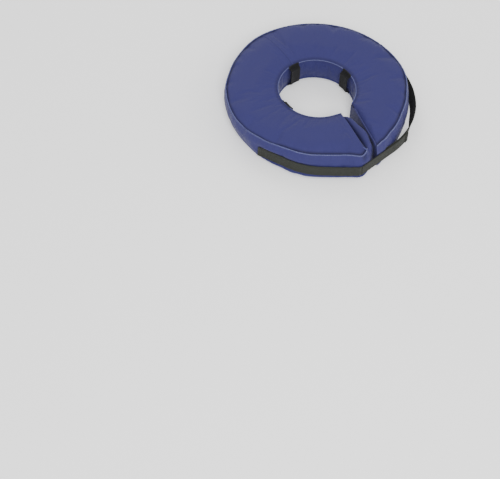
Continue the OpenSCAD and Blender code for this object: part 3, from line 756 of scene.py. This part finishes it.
class Cover:
    """The whole inflated skin as one closed grid, which is later cut into the sewn panels."""

    def __init__(self):
        stations = make_stations()
        self.count = len(stations)
        self.loop = 2 * (ACROSS + UPRIGHT)
        points = []
        last = self.count - 1
        for i, station in enumerate(stations):
            right = (station[1] - stations[0][1]).length
            left = (station[1] - stations[-1][1]).length
            droop = max(1 - smooth(right / (13 * MM)), 1 - smooth(left / (13 * MM)))
            ring = section(station, droop, 1 - smooth(left / (26 * MM)))
            for j in range(1, ACROSS):
                p = ring[j]
                angle = math.degrees(math.atan2(p.x, -p.y))
                p.z -= pucker_depth(angle, math.hypot(p.x, p.y))
            points += ring
        self.faces = grid_faces(self.count, self.loop, closed=True)
        self.caps = {}
        for name, base, sign in (("right", 0, -1), ("left", last * self.loop, 1)):
            self.add_gusset(name, points, base, sign)
        self.points = np.array([tuple(p) for p in points])
        self.plan = self.points.copy()

    def add_gusset(self, name, points, base, sign):
        low = ACROSS + UPRIGHT
        top = [points[base + j] for j in range(ACROSS + 1)]
        bottom = [points[base + low + ACROSS - j] for j in range(ACROSS + 1)]
        outer_column = [points[base + ACROSS + i] for i in range(UPRIGHT + 1)]
        neck_column = [points[base]] + [points[base + self.loop - i] for i in range(1, UPRIGHT + 1)]
        edge = (top[-1] - top[0]).normalized()
        out = Vector((-edge.y, edge.x, 0)).normalized() * sign
        if name == "left":
            puff = lambda x: between(((0, 0.2), (0.3, 1.0), (0.6, 1.4), (0.9, 0.95), (1, 0.7)), x)
            lift = lambda x: between(((0, 0), (0.3, 4), (0.75, 5.5), (0.92, 1), (1, -6)), x)
        else:
            puff = lambda x: between(((0, 0.05), (0.5, 0.1), (1, 0.1)), x)
            lift = lambda x: 0.0
        inner = gusset_points(top, bottom, outer_column, neck_column, out, puff, lift)
        index = [[base + j for j in range(ACROSS + 1)]]
        for i in range(1, UPRIGHT):
            start = len(points)
            points += inner[i - 1]
            inside = list(range(start, start + ACROSS - 1))
            index.append([base + self.loop - i] + inside + [base + ACROSS + i])
        index.append([base + low + ACROSS - j for j in range(ACROSS + 1)])
        for i in range(UPRIGHT):
            for j in range(ACROSS):
                quad = (index[i][j], index[i][j + 1], index[i + 1][j + 1], index[i + 1][j])
                self.faces.append(quad if sign > 0 else quad[::-1])
        self.caps[name] = index

    def inflate(self):
        """Blows the skin up with the cloth solver, holding the seams, and keeps it near its cut shape."""
        mesh = bpy.data.meshes.new("skin")
        mesh.from_pydata(self.points.tolist(), [], self.faces)
        skin = bpy.data.objects.new("skin", mesh)
        bpy.context.scene.collection.objects.link(skin)
        seams = skin.vertex_groups.new(name="seams")
        rows = (0, ACROSS, ACROSS + UPRIGHT, 2 * ACROSS + UPRIGHT)
        held = [i * self.loop + j for i in range(self.count) for j in rows]
        ends = [i * self.loop + j for i in list(range(2)) + list(range(self.count - 9, self.count))
                for j in range(self.loop)]
        ends += list(range(self.count * self.loop, len(self.points)))
        seams.add(held, 0.9, "REPLACE")
        seams.add(ends, 1.0, "REPLACE")
        cloth = skin.modifiers.new("inflate", "CLOTH")
        setting = cloth.settings
        setting.quality = 6
        setting.mass = 0.2
        setting.tension_stiffness = 18
        setting.compression_stiffness = 12
        setting.shear_stiffness = 6
        setting.bending_stiffness = 0.25
        setting.vertex_group_mass = "seams"
        setting.shrink_min = -0.018
        setting.use_pressure = True
        setting.uniform_pressure_force = 4
        setting.effector_weights.gravity = 0
        cloth.point_cache.frame_start = 1
        cloth.point_cache.frame_end = 20
        scene = bpy.context.scene
        for number in range(1, 21):
            scene.frame_set(number)
        graph = bpy.context.evaluated_depsgraph_get()
        result = skin.evaluated_get(graph).to_mesh()
        moved = np.empty(len(self.points) * 3)
        result.vertices.foreach_get("co", moved)
        step = moved.reshape(-1, 3) - self.points
        bpy.data.objects.remove(skin)
        scene.frame_set(1)
        length = np.linalg.norm(step, axis=1, keepdims=True)
        cap = 2.6 * MM
        step *= np.minimum(1, cap / np.maximum(length, 1e-9))
        self.points += step
        top = RING_TOP + 2 * MM
        self.points[:, 2] = np.clip(self.points[:, 2], 0.3 * MM, top)

    def make_tuck(self):
        """A dent at the left arm's corner, where the cloth is tucked, and how much painted shade each point
        gets: in the tuck, the seam grooves and the gussets.
        """
        centre = np.array([-30, -195, 50]) * MM
        away = self.points - centre
        across = np.array([0.86, -0.50, 0.0])
        upward = np.array([0.30, 0.52, 0.80])
        upward /= np.linalg.norm(upward)
        a, b = away @ across, away @ upward
        depth = away @ np.cross(across, upward)
        near = np.exp(-(a / (5.2 * MM)) ** 2 - (b / (10 * MM)) ** 2 - (depth / (12 * MM)) ** 2)
        self.points += near[:, None] * np.array([-0.35, 0.75, -0.55]) * 7 * MM
        # Painted shade in the tuck's dent.
        self.fold = np.clip(near * 1.3, 0, 1)
        rows = np.arange(len(self.points)) % self.loop
        body = np.arange(len(self.points)) < self.count * self.loop
        # Painted shade in the grooves just inside the top panels' neck and outer seams.
        groove = np.zeros(self.loop)
        groove[[1, 2, 3]] = 0.35, 0.45, 0.2
        groove[[ACROSS - 1, ACROSS - 2, ACROSS - 3]] = 0.65, 0.85, 0.35
        self.fold = np.maximum(self.fold, np.where(body, groove[rows], 0))
        # Painted shade on the gussets: darkest along their top edge, and a little over the rest.
        for name, index in self.caps.items():
            for i, row in enumerate(index[:5]):
                for v in row[1:-1]:
                    self.fold[v] = max(self.fold[v], (0.9, 0.75, 0.35, 0.1, 0.0)[i])
            for row in index[5:]:
                for v in row[1:-1]:
                    self.fold[v] = max(self.fold[v], 0.3)

    def grid(self, first, final, start, stop):
        """Vertex numbers of stations first..final and columns start..stop, ends included."""
        columns = range(start, stop + 1)
        return [[i * self.loop + j % self.loop for j in columns] for i in range(first, final + 1)]

    def normals(self):
        mesh = bpy.data.meshes.new("for_normals")
        mesh.from_pydata(self.points.tolist(), [], self.faces)
        mesh.update()
        out = np.empty(len(self.points) * 3)
        mesh.vertices.foreach_get("normal", out)
        bpy.data.meshes.remove(mesh)
        return out.reshape(-1, 3)


joints = {j["name"]: j for j in frame["joints"]}
hinge_1 = Vector(joints["flap_peel"]["pos_m"])
hinge_2 = Vector(joints["flap_end_peel"]["pos_m"])
hinge_1.z = hinge_2.z = 0
FLAP_LINE = (hinge_2 - hinge_1).normalized()
FLAP_OUT = Vector((FLAP_LINE.y, -FLAP_LINE.x, 0))


def press_in(points, room, above=4.5 * MM, below=3 * MM):
    """The strap and its flap press the cloth in where they lie. room is how deep, from the strap's face."""
    for k, (x, y, z) in enumerate(points):
        if y > 0 or not STRAP_Z - below < z < STRAP_Z + STRAP_W + above:
            continue
        p = Vector((x, y, 0))
        soft = smooth((z - STRAP_Z - STRAP_W) / above) + smooth((STRAP_Z - z) / below)
        if x > hinge_1.x - 4 * MM and x < hinge_2.x:
            past = (p - hinge_1).dot(FLAP_OUT) + room
            if past > 0:
                p -= FLAP_OUT * past * (1 - soft)
        limit = strap_limit(p)
        if limit is not None and p.length > limit - room:
            p *= 1 + ((limit - room) / p.length - 1) * (1 - soft)
        points[k, :2] = p.x, p.y


cover = Cover()
cover.inflate()
ZIP_FROM, ZIP_TO, SLOT_H = 121.5, 206.0, 10 * MM
VALVE_AXIS = polar(108.0, 1)
eyelet_face = max(v.co.dot(VALVE_AXIS) for v in frame["nodes"]["valve_eyelet"].data.vertices)


def angle_of(p):
    return math.degrees(math.atan2(p.x, -p.y)) % 360


def clamp_at_valve(points):
    """The valve's eyelet clamps the cloth flat round the stem."""
    flange, reach = 1.4 * MM, 9 * MM
    for k, point in enumerate(points):
        p = Vector(point)
        out = p.dot(VALVE_AXIS)
        past = out - (eyelet_face - flange)
        off = (p - VALVE_AXIS * out - Vector((0, 0, MID_Z))).length
        if past > 0 and off < 2 * reach:
            points[k] = p - VALVE_AXIS * past * (1 - smooth((off - reach) / reach))


def clear_of_zip(points):
    """The films stay behind the zip's slider along its whole travel."""
    behind = RING_R - 13 * MM
    for k, point in enumerate(points):
        p = Vector((point[0], point[1], 0))
        high = abs(point[2] - MID_Z)
        if ZIP_FROM - 6 < angle_of(p) < ZIP_TO + 6 and p.length > behind and high < 16 * MM:
            points[k, :2] = (p * (1 + (behind / p.length - 1) * (1 - smooth((high - 8 * MM) / (8 * MM)))))[:2]


FILM_ROOM = 5.5 * MM                             # how far inside the cloth the films lie, in plan


def film_inside(cover):
    """The films' points: each section of the cover drawn in towards its own middle."""
    points = cover.points.copy()
    for i in range(cover.count):
        ring = slice(i * cover.loop, (i + 1) * cover.loop)
        middle = (points[ring].max(axis=0) + points[ring].min(axis=0)) / 2
        away = points[ring] - middle
        half = np.linalg.norm(away[:, :2], axis=1).max()
        points[ring] = middle + away * (1 - FILM_ROOM / half, 1 - FILM_ROOM / half, 0.86)
    return points


film_points = film_inside(cover)
press_in(film_points, STRAP_T + 1.3 * MM + FILM_ROOM, 14 * MM, 10 * MM)
clear_of_zip(film_points)
press_in(cover.points, STRAP_T + 1.3 * MM)
clamp_at_valve(cover.points)
cover.make_tuck()
NORMALS = cover.normals()

BACK = next(i for i in range(cover.count) if RIGHT_FROM + i * STEP_DEG >= 180)
PANEL_T = 1.1 * MM
ring_arc = RING_R * math.radians(STEP_DEG)


def panel(name, grid, material, flat, keep=None):
    """A panel of cloth with thickness, from the skin's vertices. flat says how the cloth was cut."""
    rows, columns = len(grid), len(grid[0])
    order = [v for row in grid for v in row]
    points = cover.points[order]
    if flat == "plan":
        uvs = cover.plan[order][:, :2]
    elif flat == "gusset":
        uvs = [(j * 5 * MM, i * 5 * MM) for i in range(rows) for j in range(columns)]
    else:
        cell = (SEAM_TOP - SEAM_LOW) / UPRIGHT
        uvs = [(i * ring_arc, j * cell) for i in range(rows) for j in range(columns)]
    faces = [f[::-1] for f in grid_faces(rows, columns)] if flat == "gusset" else grid_faces(rows, columns)
    if keep is not None:
        faces = [f for f in faces if keep(sum((Vector(points[v]) for v in f), Vector()) / 4)]
    piece = new_object(name, points, faces, material, uvs)
    # The painted shade of the folds goes with the panel as a point attribute.
    fold = piece.data.attributes.new("fold", "FLOAT", "POINT")
    fold.data.foreach_set("value", cover.fold[order].astype(np.float32))
    finer = piece.modifiers.new("finer", "SUBSURF")
    finer.levels = finer.render_levels = 1
    thick = piece.modifiers.new("thick", "SOLIDIFY")
    thick.thickness = PANEL_T
    thick.offset = -1
    thick.use_even_offset = False
    return bake(piece)


LOW = ACROSS + UPRIGHT
right_rows, left_rows = (0, BACK), (BACK, cover.count - 1)


def flex(piece):
    """Bakes the piece's placement into its mesh; the left half's cloth is not attached to any body."""
    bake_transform(piece)


def band_keep(p):
    return not (ZIP_FROM < angle_of(p) < ZIP_TO and abs(p.z - MID_Z) < SLOT_H / 2)


def make_bladder():
    """The films inside follow the cloth, with a weld at the height where their CAD solids meet."""
    weld = round(UPRIGHT * (SEAM_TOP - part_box("bladder_upper_film_right")[0].z) / (SEAM_TOP - SEAM_LOW))
    rows = (("right", right_rows[0] + 1, right_rows[1]), ("left", left_rows[0], left_rows[1] - 8))
    halves = (("upper", cover.loop - weld, ACROSS + weld + cover.loop),
              ("lower", ACROSS + weld, cover.loop - weld))
    for side, first, final in rows:
        for half, start, stop in halves:
            grid = cover.grid(first, final, start, stop)
            order = [v for row in grid for v in row]
            points = film_points[order]
            uvs = cover.plan[order][:, :2]
            faces = grid_faces(len(grid), len(grid[0]))
            film = new_object(f"bladder_{half}_{side}", points, faces, bladder_vinyl, uvs)
            thick = film.modifiers.new("thick", "SOLIDIFY")
            thick.thickness = 0.5 * MM
            thick.offset = -1
            bake(film)
            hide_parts(f"bladder_{half}_film_{side}")
            if side == "right":
                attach(film, "root")
            else:
                flex(film)


def make_cover():
    parts = {
        "top_panel": ("plan", 0, ACROSS, cover_cloth, "cover_fabric", None),
        "outer_band": ("band", ACROSS, LOW, cover_cloth, "cover_fabric", band_keep),
        "bottom_panel": ("plan", LOW, LOW + ACROSS, underside_cloth, "cover_underside", None),
        "neck_band": ("band", LOW + ACROSS, cover.loop, cover_cloth, "cover_fabric", None),
    }
    for kind, (flat, start, stop, material, slot, keep) in parts.items():
        for side, (first, final) in (("right", right_rows), ("left", left_rows)):
            grid = cover.grid(first, final, start, stop)
            piece = panel(f"{kind}_{side}_cloth", grid, material, flat, keep)
            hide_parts(f"{kind}_{side}")
            if side == "right":
                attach(piece, "root")
            else:
                flex(piece)
    for side in ("right", "left"):
        grid = cover.caps[side] if side == "left" else [row[::-1] for row in cover.caps[side]]
        piece = panel(f"end_gusset_{side}", grid, cover_cloth, "gusset")
        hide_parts(f"end_cap_{side}")
        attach(piece, "root" if side == "right" else "left_arm")


make_cover()
make_bladder()


def seam_path(column, first, final, lift):
    """(point, outward) along one seam of the cover, lifted off it."""
    path = []
    for i in range(first, final + 1):
        v = i * cover.loop + column % cover.loop
        out = Vector(NORMALS[v]).normalized()
        path.append((Vector(cover.points[v]) + out * lift, out))
    return path


def smooth_path(path):
    points = rounded([p for p, _ in path], 1)
    outs = rounded([n for _, n in path], 1)
    return list(zip(points, outs))


def lip_stations(path):
    stations = []
    for k, (p, out) in enumerate(path):
        a = path[max(k - 1, 0)][0]
        b = path[min(k + 1, len(path) - 1)][0]
        forward = (b - a).normalized()
        side = forward.cross(out).normalized()
        stations.append((p, side, side.cross(forward).normalized()))
    return stations


def oval(width, height, sides=10):
    return [(width / 2 * math.cos(2 * math.pi * k / sides), height / 2 * math.sin(2 * math.pi * k / sides))
            for k in range(sides)]


def make_seams():
    """The folded and topstitched edges where the panels meet."""
    seams = {"top_outer": (ACROSS, 2.8, 2.2), "low_outer": (LOW, 2.2, 1.6),
             "top_neck": (0, 2.0, 1.4), "low_neck": (LOW + ACROSS, 2.0, 1.4)}
    for name, (column, wide, high) in seams.items():
        for side, (first, final) in (("right", right_rows), ("left", left_rows)):
            path = smooth_path(seam_path(column, first, final, 0.1 * MM))
            # The lip's lighter blue is a painted highlight along the fold.
            lip = swept(f"seam_{name}_{side}", lip_stations(path), oval(wide * MM, high * MM), seam_highlight_cloth)
            row = [(p + n * high / 2 * MM, n) for p, n in path]
            sewn = stitches(f"stitches_{name}_{side}", [row], thread, 3.6 * MM, 2.6 * MM, 0.38 * MM)
            for piece in (lip, sewn):
                if side == "right":
                    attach(piece, "root")
                else:
                    flex(piece)


make_seams()


def make_back_seam():
    """The flat seam at the middle of the back, where the cover's two halves meet."""
    base = BACK * cover.loop
    path = []
    for j in list(range(cover.loop)) + [0]:
        if ACROSS + UPRIGHT * 0.33 < j < LOW - UPRIGHT * 0.33:
            continue
        out = Vector(NORMALS[base + j]).normalized()
        path.append((Vector(cover.points[base + j]) + out * 0.05 * MM, out))
    cut = next(k for k, (p, _) in enumerate(path) if k > ACROSS and p.z < MID_Z)
    for number, run in enumerate((path[1:cut], path[cut:-1])):
        run = smooth_path(run)
        lip = swept(f"seam_back_{number}", lip_stations(run), oval(3.0 * MM, 0.6 * MM), cover_cloth)
        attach(lip, "root")


make_back_seam()


def make_tuck_rim():
    """The folded edge round the tuck at the left arm's corner."""
    corners = ((-25.6, -184, 61), (-22, -189.5, 59.5), (-22, -196, 54), (-26, -201.5, 46.5), (-33, -204.8, 41.5),
               (-38.5, -204.5, 43), (-39, -201.5, 49), (-36.5, -196.5, 56), (-31, -189, 60.5), (-25.6, -184, 61))
    ring = [Vector(p) * MM for p in corners]
    centre = Vector((-30, -195, 50)) * MM
    outward = Vector((0.25, -0.7, 0.66)).normalized()
    ring = resample(rounded(ring, 3), 1.6 * MM)
    path = [(p, (outward + (p - centre).normalized() * 0.3).normalized()) for p in ring]
    # The rim's lighter blue is a painted highlight along the fold.
    rim = swept("tuck_rim", lip_stations(path), oval(3.2 * MM, 2.6 * MM, 12), seam_highlight_cloth)
    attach(rim, "left_arm")


make_tuck_rim()

# ---------------------------------------------------------------- straps

FACE_R = RING_R + 4.3 * MM                        # the inner face of webbing that lies on the band
strap_middle = STRAP_Z + STRAP_W / 2


def lean_at(p):
    """How far the loop strap's upper edge leans out, as a slope: most where it stands off the ring."""
    if p.x < 0 or p.y > 0:
        return 0.0
    return 0.42 * smooth((angle_of(p) - 26) / 18) * (1 - smooth((angle_of(p) - 64) / 20))


def upright_stations(points, thickness, wave=0.0, seed=0, lean=False):
    """Stations for a strap on edge along plan points. side is up the strap's width, up is out of its face."""
    rng = random.Random(seed)
    phase = [rng.uniform(0, 6.28) for _ in range(4)]
    stations = []
    run = 0.0
    for k, p in enumerate(points):
        a, b = points[max(k - 1, 0)], points[min(k + 1, len(points) - 1)]
        forward = (b - a).normalized()
        out = Vector((forward.y, -forward.x, 0))
        if k:
            run += (p - points[k - 1]).length
        shift = wave * (math.sin(run * 62 + phase[0]) * 0.6 + math.sin(run * 131 + phase[1]) * 0.4)
        drop = wave * math.sin(run * 47 + phase[2]) * 0.8
        tilt = lean_at(p) if lean else 0.0
        side = (Vector((0, 0, 1)) + out * tilt).normalized()
        inward = tilt * 11 * MM
        origin = p + out * (thickness / 2 + shift - inward) + Vector((0, 0, strap_middle + drop))
        stations.append((origin, side, (out - Vector((0, 0, 1)) * tilt).normalized()))
    return stations


def strap(name, points, material, width, thickness, body, replaces, slot="webbing", **more):
    piece = swept(name, upright_stations(resample(points, 2.0 * MM), thickness, **more),
                  flat_profile(width, thickness), material)
    # The olive straps' inner face gets the near-black webbing: painted shade.
    if material is olive_webbing:
        piece.data.materials.append(black_webbing)
        count = len(flat_profile(width, thickness))
        for face in piece.data.polygons:
            if all(6 < v % count < 13 for v in face.vertices):
                face.material_index = 1
    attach(piece, body)
    if replaces:
        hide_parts(replaces)
    return piece


def circle_through(a, b, c):
    d = 2 * (a.x * (b.y - c.y) + b.x * (c.y - a.y) + c.x * (a.y - b.y))
    aa, bb, cc = a.length_squared, b.length_squared, c.length_squared
    x = (aa * (b.y - c.y) + bb * (c.y - a.y) + cc * (a.y - b.y)) / d
    y = (aa * (c.x - b.x) + bb * (a.x - c.x) + cc * (b.x - a.x)) / d
    return Vector((x, y, 0))


LOOP_FROM, LOOP_TO, SEWN_TO, SLACK = 2.0, 88.0, 97.0, 14 * MM
loop_centre = circle_through(polar(LOOP_FROM, FACE_R), polar((LOOP_FROM + LOOP_TO) / 2, FACE_R + SLACK),
                             polar(LOOP_TO, FACE_R))
loop_radius = (polar(LOOP_FROM, FACE_R) - loop_centre).length
HOOK_GAP, HOOK_T = 0.3 * MM, 0.8 * MM
FLAP_END_L, HEM_L = 46 * MM, 8 * MM               # past the second fold line, and its folded hem
flap_radius = loop_radius + STRAP_T + HOOK_GAP + HOOK_T


def loop_arc(radius, start, end, count=60):
    """Points on the loop strap's circle between two directions seen from its centre, in degrees."""
    return [loop_centre + polar(start + (end - start) * k / count, radius) for k in range(count + 1)]


def seen_from_loop(p):
    d = p - loop_centre
    return math.degrees(math.atan2(d.x, -d.y))


def strap_base_path():
    """The sewn strap's inner face in plan, from its end on the ring to the corner where the flap folds."""
    path = []
    angle = STRAP_PATH[0][0] + 1.5
    while angle < STRAP_PATH[-1][0]:
        path.append(polar(angle, between(STRAP_PATH, angle) * MM - STRAP_T))
        angle += 1.0
    last = hinge_1 - (hinge_1 - path[-1]).normalized() * 1.2 * MM
    return path + [last + polar(STRAIGHT_FROM, -STRAP_T)]


def make_straps():
    strap("strap_base_webbing", strap_base_path(), olive_webbing, STRAP_W, STRAP_T, "left_arm", "strap_base",
          wave=0.12 * MM, seed=3)
    reach = (hinge_2 - hinge_1).normalized()
    back = Vector((-reach.y, reach.x, 0)) * STRAP_T
    strap("strap_flap_webbing", [hinge_1 + back + reach * 0.9 * MM, hinge_2 + back - reach * 0.1 * MM],
          olive_webbing, STRAP_W, STRAP_T, "flap_near", "strap_flap_near", wave=0.1 * MM, seed=4, lean=True)
    start = seen_from_loop(hinge_2)
    flap_angle = math.degrees(FLAP_END_L / flap_radius)
    strap("strap_flap_end_webbing", loop_arc(flap_radius, start + 0.12, start + flap_angle), olive_webbing,
          STRAP_W, STRAP_T, "flap_end", "strap_flap_end", lean=True)
    strap("hook_tape_strip", loop_arc(loop_radius + STRAP_T + HOOK_GAP, start + 0.4, start + flap_angle - 1),
          hook_material, STRAP_W - 3 * MM, HOOK_T, "flap_end", "hook_tape", "hook_tape", lean=True)
    hem = math.degrees(HEM_L / flap_radius)
    end = start + flap_angle
    strap("strap_end_fold", loop_arc(flap_radius + STRAP_T + 0.1 * MM, end - hem, end),
          olive_webbing, STRAP_W, STRAP_T * 0.8, "flap_end", "strap_end_hem", lean=True)
    first, final = (seen_from_loop(polar(angle, FACE_R)) for angle in (LOOP_FROM, LOOP_TO))
    off = loop_arc(loop_radius, first, final, 90)
    on = [polar(LOOP_TO + (SEWN_TO - LOOP_TO) * k / 8, FACE_R) for k in range(1, 9)]
    strap("loop_strap_webbing", off + on, olive_webbing, STRAP_W, STRAP_T, "root", "loop_strap",
          wave=0.25 * MM, seed=6, lean=True)


make_straps()


def rows_across(points, height, face, count_z):
    """Stitch paths up the strap's width at plan points: (point, outward)."""
    paths = []
    for p, out in points:
        z0, z1 = strap_middle - height / 2, strap_middle + height / 2
        heights = [z0 + (z1 - z0) * k / count_z for k in range(count_z + 1)]
        path = [(p + out * face + Vector((0, 0, z)), out) for z in heights]
        paths.append(path)
    return paths


def rows_along(points, z_list, face):
    return [[(p + out * face + Vector((0, 0, z)), out) for p, out in points] for z in z_list]


def make_strap_stitching():
    inset = 2.5 * MM
    z_rows = (STRAP_Z + inset, STRAP_Z + STRAP_W - inset)
    run = resample(strap_base_path(), 3 * MM)
    base = []
    for a, b in zip(run, run[1:]):
        forward = (b - a).normalized()
        base.append((a, Vector((forward.y, -forward.x, 0))))
    base = base[1:]
    paths = rows_along(base, z_rows, STRAP_T)
    ends = [base[0], base[1], base[-1]]
    paths += rows_across(ends, STRAP_W - 2 * inset, STRAP_T, 12)
    piece = stitches("strap_base_stitches", paths, dark_thread, 3.2 * MM, 2.4 * MM, 0.35 * MM)
    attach(piece, "left_arm")
    sewn = [(polar(a, FACE_R), polar(a, 1)) for a in np.linspace(LOOP_TO + 3, SEWN_TO - 1, 8)]
    paths = rows_along(sewn, z_rows, STRAP_T)
    paths += rows_across([sewn[0], sewn[-1]], STRAP_W - 2 * inset, STRAP_T, 12)
    piece = stitches("loop_strap_stitches", paths, dark_thread, 3.2 * MM, 2.4 * MM, 0.35 * MM)
    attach(piece, "root")
    start = seen_from_loop(hinge_2)
    flap_angle = math.degrees(FLAP_END_L / flap_radius)
    hem = math.degrees(HEM_L / flap_radius)
    outer = flap_radius + STRAP_T * 1.8 + 0.1 * MM
    fold = []
    for a in (start + flap_angle - hem + 0.5, start + flap_angle - 0.7):
        out = polar(a, 1)
        fold.append((loop_centre + out * outer, out))
    piece = stitches("flap_end_stitches", rows_across(fold, STRAP_W - 2 * inset, 0, 12), dark_thread,
                     3.2 * MM, 2.4 * MM, 0.35 * MM)
    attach(piece, "flap_end")


make_strap_stitching()

# ---------------------------------------------------------------- finishes for the CAD pieces that show


def dress(node, material):
    piece = frame["nodes"][node]
    piece.data.materials.clear()
    piece.data.materials.append(material)


for node in ("zip_teeth_upper", "zip_teeth_lower"):
    dress(node, zip_plastic)
for node in ("zip_bottom_stop", "zip_top_stops", "zip_slider", "zip_pull"):
    dress(node, zip_metal)
for node in ("valve_base", "valve_eyelet", "valve_stem", "valve_check_flap", "valve_cap"):
    dress(node, clear_vinyl)
for node in ("zip_tape_upper", "zip_tape_lower"):
    dress(node, zip_cloth)
for node in ("neck_loop_right", "neck_loop_back", "neck_loop_left"):
    dress(node, loop_webbing)
